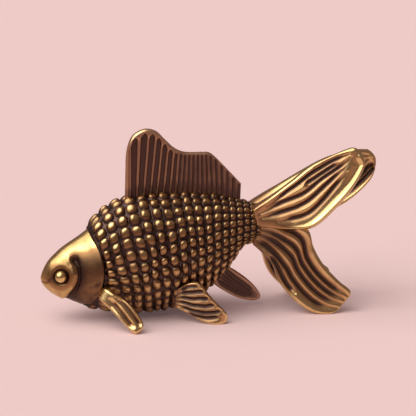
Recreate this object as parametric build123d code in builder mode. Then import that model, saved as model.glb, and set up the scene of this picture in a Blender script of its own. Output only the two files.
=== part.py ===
from build123d import *
from math import atan, cos, pi, radians, sin, tan
import os

# Stance: nose down, standing on the paired fins and on the lower lobes of the tail
NOSE_DIP = 11.0           # degrees by which the swimming axis drops towards the nose
NECK_HEIGHT = 7.8         # floor to the swimming axis at the neck
SEAM = 0.05               # solder gap left round every tongue, peg, stem and tenon
SEAT = 0.1                # gap between a fin's foot and the scale crowns under it

# Trunk, by stations behind the neck and distances from the swimming axis to the scale crowns
TRUNK_LENGTH = 25.5
THROAT_REACH = 2.6        # how far the throat runs forward of the neck, between the gill covers
NECK_RISE = 5.8
NECK_DROP = 6.9
NECK_HALF_WIDTH = 4.8
CREST_AT = 6.6
CREST_RISE = 9.4
BELLY_AT = 10.7
BELLY_DROP = 9.1
FLANK_AT = 9.5
FLANK_HALF_WIDTH = 6.5
STALK_LENGTH = 3.2        # the stalk is the narrow end that carries the tail
STALK_RISE = 3.6
STALK_DROP = 2.3
STALK_HALF_WIDTH = 2.5

# Scale coat
SCALE_COLUMNS = 15
SCALE_ROWS = 22
SCALE_RELIEF = 0.28       # depth at the flank of the grooves along the coat, and of those round it
SCALE_SHRINK = 0.6        # length of the last column over that of the first
SCALE_BORDER = 0.24       # share of a scale's width that slopes, on each side
CROWN_SECTIONS = 10       # sections of the smooth skin through the scale crowns

# Head: each side is part of a cone from the snout, and the two lean apart so that they meet in a soft ridge
HEAD_LENGTH = 8.05
HEAD_RADIUS = 6.5         # of the cones at the neck
SNOUT_RADIUS = 1.6        # of the cones at the snout
SNOUT_ROUND = 1.0
HEAD_SPLAY = 10.0         # degrees that each cone leans out from the swimming axis
HEAD_DROOP = 3.0          # degrees that both drop below it
GILL_RADIUS = 11.4        # the gill covers end in an arc
GILL_REACH = 0.75         # how far that arc passes behind the neck
GILL_RISE = 2.65          # the arc's centre over the swimming axis
CHEEK_RADIUS = 8.0        # groove in front of the gill cover, on the same centre
CHEEK_GROOVE = 0.4
CHEEK_DEPTH = 0.4
CHEEK_SPAN = 6.6
CHEEK_RISE = 0.4
SPIGOT_RADIUS = 2.4       # the head's round peg in the trunk
SPIGOT_LENGTH = 4.5

# Eyes
EYE_RADIUS = 0.85
EYE_RING = 1.2            # radius of the recess round the bead
EYE_RING_DEPTH = 0.3
EYE_BACK = 2.6            # behind the snout
EYE_LIFT = 13.5           # degrees above the side of the head
EYE_STEM_RADIUS = 0.4
EYE_STEM_LENGTH = 1.5

# Dorsal fin: places in the front lobe are behind and above the front of its foot on the back, and the last two
# are behind and above the foot's rear end
DORSAL_AT = 6.3
DORSAL_REST = 2.3         # bare back between the fin's foot and the trunk's end
DORSAL_TONGUE = 1.6
DORSAL_THICKNESS = 1.3
DORSAL_SHOULDER = (2.1, 7.1)
DORSAL_PEAK = (5.3, 9.2)
DORSAL_NAPE = (8.6, 5.7)
DORSAL_STEP = (11.2, 4.05)
DORSAL_BROW = (-2.7, 7.65)
DORSAL_HEEL = (0.85, 2.05)
DORSAL_LEAN = 19.0        # degrees that the rays lean back from square to the swimming axis
DORSAL_FRONT_RAY = 1.15
DORSAL_REAR_RAY = 0.75
DORSAL_RAYS = 22

# Anal fin: places are behind and below the front of its foot on the belly
ANAL_AHEAD = 8.5          # front of its foot to the trunk's end
ANAL_FOOT = 2.7
ANAL_TONGUE = 1.5
ANAL_THICKNESS = 1.3
ANAL_TIP = (6.8, 4.0)
ANAL_BULGE = (3.4, 3.3)
ANAL_SHOULDER = (4.6, 0.0)
ANAL_LEAN = 44.0          # degrees that its rays drop below the swimming axis
ANAL_RAY = 0.85
ANAL_RAYS = 7
RAY_DEPTH = 0.3           # depth of the grooves between the rays of both upright fins

# Paired fins: edges are (behind the root, outside it, share of its height over the floor)
PECTORAL_AT = 0.6
PECTORAL_TURN = 112.0     # degrees round the trunk from the top of the back
PECTORAL_LOWER = [(-0.8, -1.0, 0.81), (-0.8, 0.5, 0.74), (0.2, 1.7, 0.56), (1.0, 2.7, 0.4), (2.0, 3.7, 0.19),
                  (2.9, 4.4, 0.02), (3.6, 4.6, -0.02)]
PECTORAL_UPPER = [(0.1, -1.0, 1.13), (0.4, 0.8, 1.1), (1.6, 1.8, 0.94), (2.7, 2.7, 0.78), (3.6, 3.5, 0.58),
                  (4.3, 4.1, 0.35), (4.6, 4.4, 0.16)]
PECTORAL_RIBS = 3
PELVIC_AT = 11.0
PELVIC_TURN = 134.0
PELVIC_LOWER = [(-0.5, -1.1, 0.54), (0.5, 0.2, 0.46), (2.1, 1.3, 0.2), (3.5, 1.9, 0.02), (5.1, 2.5, -0.05),
                (6.5, 2.4, 0.03)]
PELVIC_UPPER = [(-0.5, 0.0, 1.66), (1.3, 1.5, 1.77), (2.7, 1.9, 1.7), (3.8, 2.2, 1.22), (5.3, 2.5, 0.76),
                (6.7, 2.5, 0.39)]
PELVIC_RIBS = 5
BLADE_ROOT = 1.5          # thickness of a paired fin where it leaves the trunk
BLADE_TIP = 0.9
BLADE_SECTIONS = 7
RIB_DEPTH = 0.24
PEG_RADIUS = 0.45
PEG_DEPTH = 1.5
PEG_RISE = 0.5

# Tail: edges are (behind the tail root, outside the middle, above the root or, below the fork, as a share of
# the root's height over the floor)
TAIL_LEFT_TOP = [(-1.6, 1.2, 3.0), (2.1, 1.9, 5.5), (4.4, 2.2, 7.2), (7.3, 2.5, 9.4), (11.4, 2.9, 11.2),
                 (13.7, 3.2, 12.0), (15.0, 3.3, 11.9)]
TAIL_LEFT_FORK = [(-1.0, 1.2, 0.2), (4.6, 2.8, -0.3), (7.9, 3.3, 0.2), (11.3, 3.6, 3.2), (13.6, 3.6, 5.9),
                  (15.3, 3.5, 8.9), (15.6, 3.4, 10.9)]
TAIL_RIGHT_TOP = [(-1.6, 1.2, 3.0), (2.6, 1.9, 5.0), (6.1, 2.3, 6.8), (10.6, 2.7, 8.9), (14.6, 3.0, 9.9),
                  (17.6, 3.2, 9.9), (19.1, 3.3, 9.0)]
TAIL_RIGHT_FORK = [(-1.0, 1.2, 0.2), (4.6, 2.8, -0.3), (8.6, 3.3, -0.2), (12.6, 3.5, 0.9), (15.6, 3.6, 2.5),
                   (18.3, 3.6, 5.0), (19.25, 3.5, 7.2)]
TAIL_LOWER_FRONT = [(-1.2, 1.2, 0.81), (1.1, 2.9, 0.61), (2.0, 3.6, 0.42), (3.0, 4.2, 0.28), (5.0, 5.0, 0.11),
                    (7.1, 5.6, 0.01), (9.3, 5.9, -0.015), (10.7, 5.9, 0.03)]
TAIL_LOWER_FORK = [(-1.0, 1.2, 1.05), (3.2, 2.4, 1.02), (5.9, 3.1, 0.93), (7.5, 3.6, 0.76), (8.9, 4.4, 0.57),
                   (11.0, 5.2, 0.38), (12.6, 5.7, 0.27), (12.7, 5.8, 0.19)]
TAIL_RIBS = 5
TAIL_SECTIONS = 10
SECTION_NUDGE = 0.01      # share of an edge's length over which its direction is read
TAIL_ROOT = 2.4           # thickness of each tail fin at the stalk
TAIL_EDGE = 1.1           # thickness at the end of a lobe
TENON_THICKNESS = 1.1
TENON_RISE = 2.6
TENON_DROP = 1.4
TENON_LENGTH = 3.0

# Swimming frame, placed so that snout and longest lobe lie equally far from the origin
axis = Vector(cos(radians(NOSE_DIP)), 0, sin(radians(NOSE_DIP)))
head_slope = (HEAD_RADIUS - SNOUT_RADIUS) / HEAD_LENGTH
head_dip = radians(NOSE_DIP - HEAD_DROOP)
snout_flat = SNOUT_RADIUS - SNOUT_ROUND * tan(pi / 4 - atan(head_slope) / 2)
snout_reach = HEAD_LENGTH * axis.X + snout_flat * sin(head_dip) + SNOUT_ROUND * (1 - cos(head_dip))
tail_reach = TRUNK_LENGTH * axis.X + TAIL_RIGHT_FORK[-1][0]
neck = Vector((snout_reach - tail_reach) / 2, 0, NECK_HEIGHT)
side = Plane(origin=neck, x_dir=axis, z_dir=(0, -1, 0))
snout = neck - axis * HEAD_LENGTH
tail_root = neck + axis * TRUNK_LENGTH
stalk_at = TRUNK_LENGTH - STALK_LENGTH
dorsal_foot = TRUNK_LENGTH - DORSAL_REST - DORSAL_AT
anal_at = TRUNK_LENGTH - ANAL_AHEAD
wide = 4 * FLANK_HALF_WIDTH


def across(station):
    """Plane square to the swimming axis; its X is the fish's right and its Y is up."""
    return Plane(origin=neck + axis * station, x_dir=(0, 1, 0), z_dir=axis)


def bow(station, start, peak, end):
    """Two half parabolas that meet level at the peak; each place is (station, value)."""
    foot = start if station < peak[0] else end
    reach = (station - peak[0]) / (foot[0] - peak[0])
    return peak[1] - (peak[1] - foot[1]) * reach**2


def back(station):
    return bow(station, (0, NECK_RISE), (CREST_AT, CREST_RISE), (TRUNK_LENGTH, STALK_RISE))


def belly(station):
    return bow(min(station, stalk_at), (0, NECK_DROP), (BELLY_AT, BELLY_DROP), (stalk_at, STALK_DROP))


def flank(station):
    return bow(station, (0, NECK_HALF_WIDTH), (FLANK_AT, FLANK_HALF_WIDTH), (TRUNK_LENGTH, STALK_HALF_WIDTH))


def skin(station, turn, sink=0.0):
    """Point of the trunk's section, at a turn from the top of the back, sunk towards the axis."""
    upright = back(station) if cos(turn) > 0 else belly(station)
    spot = Vector(flank(station) * sin(turn), upright * cos(turn))
    return spot * (1 - sink / spot.length)


def scale_ring(station, sink):
    """Section of the scale coat, with a groove between each scale and the next, sunk as a whole by a depth."""
    pitch = 2 * pi / SCALE_ROWS
    fade = flank(station) / FLANK_HALF_WIDTH
    ring = []
    for row in range(SCALE_ROWS):
        for place, groove in ((0, SCALE_RELIEF), (SCALE_BORDER, 0), (1 - SCALE_BORDER, 0)):
            ring.append(skin(station, (row + place) * pitch, fade * (groove + sink)))
    return ring


def flow(stops, place):
    """Smooth curve through evenly spaced stops, at a place from 0 to 1."""
    run = place * (len(stops) - 1)
    leg = min(int(run), len(stops) - 2)
    rest = run - leg
    near = [max(0, min(leg + step, len(stops) - 1)) for step in (-1, 0, 1, 2)]
    before, start, end, after = (Vector(stops[stop]) for stop in near)
    bend = before - start * 2.5 + end * 2 - after * 0.5
    twist = (start - end) * 1.5 + (after - before) * 0.5
    return start + (end - before) * (0.5 * rest) + bend * rest**2 + twist * rest**3


def ribbed_sections(first_edge, second_edge, thickness, ribs, count):
    """Sections between two edges, thinning from root to end, folded into ribs on both faces."""
    sections = []
    for step in range(count):
        place = step / (count - 1)
        ahead = min(1, place + SECTION_NUDGE)
        behind = max(0, place - SECTION_NUDGE)
        first = flow(first_edge, place)
        breadth = flow(second_edge, place) - first
        onward = flow(first_edge, ahead) - flow(first_edge, behind)
        onward += flow(second_edge, ahead) - flow(second_edge, behind)
        thick = thickness[0] + (thickness[1] - thickness[0]) * place
        depth = min(RIB_DEPTH, breadth.length / (4 * ribs))
        face = []
        for fold in range(2 * ribs + 1):
            face.append((breadth.length * fold / (2 * ribs), thick / 2 - (0 if fold % 2 else depth)))
        lay = Plane(origin=first, x_dir=breadth, z_dir=breadth.cross(onward).cross(breadth))
        with BuildSketch(lay) as section:
            Polygon(*face, *[(run, -height) for run, height in reversed(face)], align=None)
        sections.append(section.sketch)
    return sections


def rays(foot, lean, pitches, thickness):
    """Section across straight rays that lean back from square to the swimming axis."""
    along = side.x_dir * cos(lean) - side.y_dir * sin(lean)
    upward = side.x_dir * sin(lean) + side.y_dir * cos(lean)
    face = []
    run = -pitches[0]
    for pitch in pitches:
        face.append((run, thickness / 2 - RAY_DEPTH))
        face.append((run + pitch / 2, thickness / 2))
        run += pitch
    face.append((run, thickness / 2 - RAY_DEPTH))
    with BuildSketch(Plane(origin=side.from_local_coords(foot), x_dir=along, z_dir=upward)) as section:
        Polygon(*face, *[(run, -height) for run, height in reversed(face)], align=None)
    return section.sketch


def head_course(hand):
    """Way from the snout along the middle of the cone that leans to one hand."""
    level = axis * cos(radians(HEAD_DROOP)) - side.y_dir * sin(radians(HEAD_DROOP))
    return level * cos(radians(HEAD_SPLAY)) + Vector(0, hand * sin(radians(HEAD_SPLAY)), 0)


def head_cone(hand, inset):
    """Half section of the cone that leans to one hand, with its wall moved in."""
    course = head_course(hand)
    end = HEAD_LENGTH + 2 * GILL_REACH
    snout_radius = SNOUT_RADIUS - inset
    end_radius = snout_radius + end * head_slope
    with BuildSketch(Plane(origin=snout, x_dir=course, z_dir=course.cross(side.y_dir))) as half:
        Polygon((0, 0), (end, 0), (end, end_radius), (0, snout_radius), align=None)
        fillet(half.vertices().group_by(Axis.X)[0].sort_by(Axis.Y)[-1], SNOUT_ROUND)
    return half.sketch


def tongue_line(profile, start, length, depth):
    """Points under the trunk's profile that a fin's tongue reaches down to."""
    places = (0, 0.2, 0.4, 0.6, 0.8, 1)
    return [(start + length * place, profile(start + length * place) - depth) for place in places]


def mortise(profile, up, start, length, depth):
    """Slot in the trunk for a fin's tongue, open past the scale crowns; up is -1 under the belly."""
    floor = tongue_line(profile, start - SEAM, length + 2 * SEAM, depth + SEAM)
    mouth = tongue_line(profile, start - SEAM, length + 2 * SEAM, -depth)
    with BuildSketch(side) as slot:
        Polygon(*[(run, up * rise) for run, rise in floor + mouth[::-1]], align=None)
    return slot.sketch


def dorsal_outline():
    """Side view of the dorsal fin with its tongue."""
    foot = Vector(DORSAL_AT, back(DORSAL_AT))
    rear = Vector(DORSAL_AT + dorsal_foot, back(DORSAL_AT + dorsal_foot))
    lobe = (DORSAL_SHOULDER, DORSAL_PEAK, DORSAL_NAPE, DORSAL_STEP)
    shoulder, peak, nape, step = (foot + Vector(place) for place in lobe)
    brow, heel = (rear + Vector(place) for place in (DORSAL_BROW, DORSAL_HEEL))
    with BuildSketch(side) as outline:
        with BuildLine():
            seat = Polyline(*tongue_line(back, DORSAL_AT, dorsal_foot, DORSAL_TONGUE))
            Polyline(seat @ 0, foot, shoulder)
            Spline(shoulder, peak, nape, step, brow)
            Polyline(brow, heel, rear, seat @ 1)
        make_face()
    return outline.sketch


def anal_outline():
    """Side view of the anal fin with its tongue."""
    foot = Vector(anal_at, -belly(anal_at))
    rear = Vector(anal_at + ANAL_FOOT, -belly(anal_at + ANAL_FOOT))
    shoulder, tip, bulge = (foot + Vector(run, -down) for run, down in (ANAL_SHOULDER, ANAL_TIP, ANAL_BULGE))
    with BuildSketch(side) as outline:
        with BuildLine():
            tongue = tongue_line(belly, anal_at, ANAL_FOOT, ANAL_TONGUE)
            seat = Polyline(*[(run, -drop) for run, drop in tongue])
            Line(seat @ 1, rear)
            Spline(rear, shoulder, tip, bulge, foot)
            Line(foot, seat @ 0)
        make_face()
    return outline.sketch


def fin_root(station, turn, hand):
    """Place on the scale crowns where a paired fin leaves the trunk, and the way out from there."""
    spot = skin(station, radians(turn))
    root = across(station).from_local_coords((hand * spot.X, spot.Y))
    return root, (root - neck - axis * station).normalized()


def floor_edge(root, hand, stops):
    """Edge of a fin that stands on the floor, from its stops behind, outside and below a root."""
    return [(root.X + behind, root.Y + hand * outside, root.Z * share) for behind, outside, share in stops]


def peg_end(root, outward, gap):
    """Inner end of the round peg that holds a paired fin, grown by a gap all round."""
    with BuildSketch(Plane(origin=root - outward * (PEG_DEPTH + gap), z_dir=outward)) as end:
        Circle(PEG_RADIUS + gap)
    return end.sketch


def eye_plane(hand):
    """Plane on the side of the head, square to its skin."""
    course = head_course(-hand)
    sideways = course.cross(side.y_dir) * -hand
    outward = sideways * cos(radians(EYE_LIFT)) + side.y_dir * sin(radians(EYE_LIFT))
    spot = snout + course * EYE_BACK + outward * (SNOUT_RADIUS + EYE_BACK * head_slope)
    return Plane(origin=spot, z_dir=outward - course * head_slope)


gill_centre = (GILL_REACH - GILL_RADIUS, GILL_RISE)
hands = {"left": -1, "right": 1}
paired_roots = {"pectoral_fin": (PECTORAL_AT, PECTORAL_TURN), "pelvic_fin": (PELVIC_AT, PELVIC_TURN)}
paired_blades = {
    "pectoral_fin": (PECTORAL_LOWER, PECTORAL_UPPER, PECTORAL_RIBS),
    "pelvic_fin": (PELVIC_LOWER, PELVIC_UPPER, PELVIC_RIBS),
}
os.makedirs("parts", exist_ok=True)

# Everything that the trunk gives way to: gill covers, spigot, tongues, pegs and tenons, each with its gap
with BuildPart() as sockets:
    with BuildSketch(side):
        with Locations(gill_centre):
            Circle(GILL_RADIUS + SEAM)
    extrude(amount=wide, both=True)
    with BuildSketch(across(-THROAT_REACH)):
        Circle(SPIGOT_RADIUS + SEAM)
    extrude(amount=THROAT_REACH + SPIGOT_LENGTH + SEAM)
    dorsal_slot = mortise(back, 1, DORSAL_AT, dorsal_foot, DORSAL_TONGUE)
    extrude(dorsal_slot, amount=DORSAL_THICKNESS / 2 + SEAM, both=True)
    anal_slot = mortise(belly, -1, anal_at, ANAL_FOOT, ANAL_TONGUE)
    extrude(anal_slot, amount=ANAL_THICKNESS / 2 + SEAM, both=True)
    with BuildSketch(across(TRUNK_LENGTH - TENON_LENGTH - SEAM)):
        with Locations((0, (TENON_RISE - TENON_DROP) / 2)):
            Rectangle(2 * (TENON_THICKNESS + 2 * SEAM), TENON_RISE + TENON_DROP + 2 * SEAM)
    extrude(amount=TENON_LENGTH + 2 * SEAM)
    for station, turn in paired_roots.values():
        for hand in hands.values():
            root, outward = fin_root(station, turn, hand)
            extrude(peg_end(root, outward, SEAM), amount=PEG_DEPTH + SEAM + 2 * PEG_RISE)

# Scale columns shorten evenly from the throat to the stalk
coat_length = THROAT_REACH + TRUNK_LENGTH
first_column = 2 * coat_length / (SCALE_COLUMNS * (1 + SCALE_SHRINK))
column_loss = first_column * (1 - SCALE_SHRINK) / (SCALE_COLUMNS - 1)

with BuildPart() as trunk:
    groove_at = -THROAT_REACH
    for column in range(SCALE_COLUMNS):
        length = first_column - column * column_loss
        for station, sink in ((groove_at, SCALE_RELIEF), (groove_at + length / 2, 0)):
            with BuildSketch(across(station)):
                Polygon(*scale_ring(station, sink), align=None)
        groove_at += length
    with BuildSketch(across(TRUNK_LENGTH)):
        Polygon(*scale_ring(TRUNK_LENGTH, SCALE_RELIEF), align=None)
    loft(ruled=True, clean=False)
    add(sockets.part.solids(), mode=Mode.SUBTRACT, clean=False)
trunk.part.label = "trunk"
export_step(trunk.part, "parts/trunk.step")

# The head at the depth of its cheek grooves
with BuildPart() as head_core:
    for hand, mode in ((-1, Mode.ADD), (1, Mode.INTERSECT)):
        revolve(head_cone(hand, CHEEK_DEPTH), axis=Axis(snout, head_course(hand)), mode=mode)

# Curved groove that sets the cheek off from the gill cover
with BuildPart() as cheek_groove:
    with BuildSketch(side):
        with Locations(gill_centre):
            Circle(CHEEK_RADIUS + CHEEK_GROOVE)
            Circle(CHEEK_RADIUS, mode=Mode.SUBTRACT)
        with Locations((0, CHEEK_RISE)):
            Rectangle(wide, CHEEK_SPAN, mode=Mode.INTERSECT)
    extrude(amount=wide, both=True)
    add(head_core.part, mode=Mode.SUBTRACT)

with BuildPart() as head:
    for hand, mode in ((-1, Mode.ADD), (1, Mode.INTERSECT)):
        revolve(head_cone(hand, 0), axis=Axis(snout, head_course(hand)), mode=mode)
    with BuildSketch(side):
        with Locations(gill_centre):
            Circle(GILL_RADIUS)
    extrude(amount=wide, both=True, mode=Mode.INTERSECT)
    add(cheek_groove.part, mode=Mode.SUBTRACT)
    for hand in hands.values():
        recess = eye_plane(hand).offset(-EYE_RING_DEPTH)
        with BuildSketch(recess):
            Circle(EYE_RING)
        extrude(amount=EYE_RING, mode=Mode.SUBTRACT)
        with BuildSketch(recess):
            Circle(EYE_STEM_RADIUS + SEAM)
        extrude(amount=-EYE_STEM_LENGTH - SEAM, mode=Mode.SUBTRACT)
    with BuildSketch(across(-GILL_REACH)):
        Circle(SPIGOT_RADIUS)
    extrude(amount=GILL_REACH + SPIGOT_LENGTH)
head.part.label = "head"
export_step(head.part, "parts/head.step")

for name, hand in hands.items():
    with BuildPart() as eye:
        recess = eye_plane(hand).offset(-EYE_RING_DEPTH)
        with Locations(recess):
            Sphere(EYE_RADIUS)
        split(bisect_by=recess.offset(SEAM), keep=Keep.TOP)
        with BuildSketch(recess.offset(SEAM)):
            Circle(EYE_STEM_RADIUS)
        extrude(amount=-EYE_STEM_LENGTH - SEAM)
    eye.part.label = f"{name}_eye"
    export_step(eye.part, f"parts/{name}_eye.step")

ray_loss = (DORSAL_FRONT_RAY - DORSAL_REAR_RAY) / (DORSAL_RAYS - 1)
dorsal_pitches = [DORSAL_FRONT_RAY - ray_loss * ray for ray in range(DORSAL_RAYS)]
dorsal_front = (DORSAL_AT, back(DORSAL_AT))
with BuildPart() as dorsal_fin:
    extrude(dorsal_outline(), amount=DORSAL_THICKNESS / 2, both=True)
    folds = rays(dorsal_front, radians(DORSAL_LEAN), dorsal_pitches, DORSAL_THICKNESS)
    extrude(folds, amount=TRUNK_LENGTH, both=True, mode=Mode.INTERSECT)
dorsal_fin.part.label = "dorsal_fin"
export_step(dorsal_fin.part, "parts/dorsal_fin.step")

anal_front = (anal_at, -belly(anal_at))
with BuildPart() as anal_fin:
    extrude(anal_outline(), amount=ANAL_THICKNESS / 2, both=True)
    folds = rays(anal_front, radians(ANAL_LEAN - 90), [ANAL_RAY] * ANAL_RAYS, ANAL_THICKNESS)
    extrude(folds, amount=TRUNK_LENGTH, both=True, mode=Mode.INTERSECT)
anal_fin.part.label = "anal_fin"
export_step(anal_fin.part, "parts/anal_fin.step")

# The scale crowns as one smooth skin, to shape the feet of the paired fins
with BuildPart() as crowns:
    for section in range(CROWN_SECTIONS):
        station = coat_length * section / (CROWN_SECTIONS - 1) - THROAT_REACH
        half_width = flank(station) + SEAT
        with BuildSketch(across(station)):
            with BuildLine():
                EllipticalCenterArc((0, 0), half_width, back(station) + SEAT, start_angle=0, arc_size=180)
                EllipticalCenterArc((0, 0), half_width, belly(station) + SEAT, start_angle=180, arc_size=180)
            make_face()
    loft()

for fin, (lower, upper, ribs) in paired_blades.items():
    for name, hand in hands.items():
        root, outward = fin_root(*paired_roots[fin], hand)
        with BuildPart() as paired_fin:
            lower_edge = floor_edge(root, hand, lower)
            upper_edge = floor_edge(root, hand, upper)
            thickness = (BLADE_ROOT, BLADE_TIP)
            loft(ribbed_sections(lower_edge, upper_edge, thickness, ribs, BLADE_SECTIONS), ruled=True)
            add(crowns.part, mode=Mode.SUBTRACT)
            split(bisect_by=Plane.XY, keep=Keep.TOP)
            extrude(peg_end(root, outward, 0), amount=PEG_DEPTH + PEG_RISE)
        paired_fin.part.label = f"{name}_{fin}"
        export_step(paired_fin.part, f"parts/{name}_{fin}.step")

upper_lobes = {"left": (TAIL_LEFT_TOP, TAIL_LEFT_FORK), "right": (TAIL_RIGHT_TOP, TAIL_RIGHT_FORK)}
for name, hand in hands.items():
    upper_edges = [
        [tail_root + Vector(behind, hand * outside, above) for behind, outside, above in stops]
        for stops in upper_lobes[name]
    ]
    lower_edges = [floor_edge(tail_root, hand, stops) for stops in (TAIL_LOWER_FRONT, TAIL_LOWER_FORK)]
    with BuildPart() as tail_fin:
        loft(ribbed_sections(*upper_edges, (TAIL_ROOT, TAIL_EDGE), TAIL_RIBS, TAIL_SECTIONS), ruled=True)
        loft(ribbed_sections(*lower_edges, (TAIL_ROOT, TAIL_EDGE), TAIL_RIBS, TAIL_SECTIONS), ruled=True)
        split(bisect_by=across(TRUNK_LENGTH + SEAM), keep=Keep.TOP)
        split(bisect_by=Plane.XY, keep=Keep.TOP)
        split(bisect_by=Plane(origin=(0, hand * SEAM, 0), z_dir=(0, hand, 0)), keep=Keep.TOP)
        with BuildSketch(across(TRUNK_LENGTH - TENON_LENGTH)):
            with Locations((hand * (SEAM + TENON_THICKNESS / 2), (TENON_RISE - TENON_DROP) / 2)):
                Rectangle(TENON_THICKNESS, TENON_RISE + TENON_DROP)
        extrude(amount=TENON_LENGTH + TENON_THICKNESS)
    tail_fin.part.label = f"{name}_tail_fin"
    export_step(tail_fin.part, f"parts/{name}_tail_fin.step")
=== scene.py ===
import math

import bmesh
import bpy
import numpy as np
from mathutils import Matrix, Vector


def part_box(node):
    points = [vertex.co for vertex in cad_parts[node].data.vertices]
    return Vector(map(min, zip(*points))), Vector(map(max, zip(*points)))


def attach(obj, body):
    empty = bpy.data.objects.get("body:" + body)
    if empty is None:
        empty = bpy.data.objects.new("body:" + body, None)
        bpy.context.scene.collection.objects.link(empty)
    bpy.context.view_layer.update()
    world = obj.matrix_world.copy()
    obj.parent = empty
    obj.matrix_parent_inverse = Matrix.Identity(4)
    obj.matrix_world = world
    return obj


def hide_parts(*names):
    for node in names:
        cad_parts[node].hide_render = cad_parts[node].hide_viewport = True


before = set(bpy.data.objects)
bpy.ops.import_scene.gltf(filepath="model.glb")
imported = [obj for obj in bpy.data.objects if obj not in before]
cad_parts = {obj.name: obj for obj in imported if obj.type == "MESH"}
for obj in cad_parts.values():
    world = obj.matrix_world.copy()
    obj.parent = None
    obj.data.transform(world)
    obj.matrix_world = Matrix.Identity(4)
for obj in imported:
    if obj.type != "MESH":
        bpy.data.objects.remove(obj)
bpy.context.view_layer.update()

# Trunk: the deep body of the goldfish, cast solid in brass from a carved pattern. Its coat of raised scales
# is part of the casting. The whole figure was darkened with a brown-black patina and then rubbed back by
# hand, so the crowns of the scales shine and the grooves between them stay nearly black.
MM = 0.001
NOSE_DIP = math.radians(11)
NECK_HEIGHT = 7.8
HEAD_LENGTH = 8.05
SNOUT_LEAD = 0.154  # how far the blunt snout passes the end of the swimming axis
TRUNK_LENGTH = 25.5
axis = np.array([math.cos(NOSE_DIP), 0, math.sin(NOSE_DIP)])
rise = np.array([-math.sin(NOSE_DIP), 0, math.cos(NOSE_DIP)])
sideways = np.array([0.0, 1.0, 0.0])
neck = np.array([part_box("head")[0].x / MM + SNOUT_LEAD + HEAD_LENGTH * axis[0], 0, NECK_HEIGHT])
tail_root = neck + axis * TRUNK_LENGTH
hands = {"left": -1, "right": 1}


def swim(station, outward, upward):
    """Row-frame points, from stations behind the neck and distances right of and over the swimming axis."""
    station, outward, upward = np.broadcast_arrays(station, outward, upward)
    return neck + station[..., None] * axis + outward[..., None] * sideways + upward[..., None] * rise


def bow(station, start, peak, end):
    """Two half parabolas that meet level at the peak; each place is (station, value)."""
    before = np.asarray(station) < peak[0]
    foot_at = np.where(before, start[0], end[0])
    foot = np.where(before, start[1], end[1])
    return peak[1] - (peak[1] - foot) * ((station - peak[0]) / (foot_at - peak[0])) ** 2


def back(station):
    return bow(station, (0, 5.8), (6.6, 9.4), (TRUNK_LENGTH, 3.6))


def belly(station):
    return bow(np.minimum(station, 22.3), (0, 6.9), (10.7, 9.1), (22.3, 2.3))


def flank(station):
    return bow(station, (0, 4.8), (9.5, 6.5), (TRUNK_LENGTH, 2.5))


def hump(distance, width):
    return np.exp(-(distance / width) ** 2)


def ease(value, low, high):
    """Smooth step from 0 at low to 1 at high."""
    share = np.clip((value - low) / (high - low), 0, 1)
    return share * share * (3 - 2 * share)


def drift(first, second, wave, seed):
    """Smooth random field of about -1 to 1 over two coordinates."""
    chance = np.random.default_rng(seed)
    total = 0
    for _ in range(6):
        heading, phase = chance.uniform(0, 2 * math.pi, 2)
        course = first * math.cos(heading) + second * math.sin(heading)
        total = total + np.sin(2 * math.pi * course / wave + phase)
    return total / 2.4


def linear(code):
    """Linear colour of an sRGB hex code."""
    parts = [int(code[place:place + 2], 16) / 255 for place in (0, 2, 4)]
    return [part / 12.92 if part <= 0.04045 else ((part + 0.055) / 1.055) ** 2.4 for part in parts] + [1]


def add_node(tree, kind, inputs, **settings):
    """Adds a node with its settings, and links or sets its inputs."""
    node = tree.nodes.new(kind)
    for name, value in settings.items():
        setattr(node, name, value)
    for socket, value in inputs.items():
        if isinstance(value, bpy.types.NodeSocket):
            tree.links.new(value, node.inputs[socket])
        else:
            node.inputs[socket].default_value = value
    return node


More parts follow.
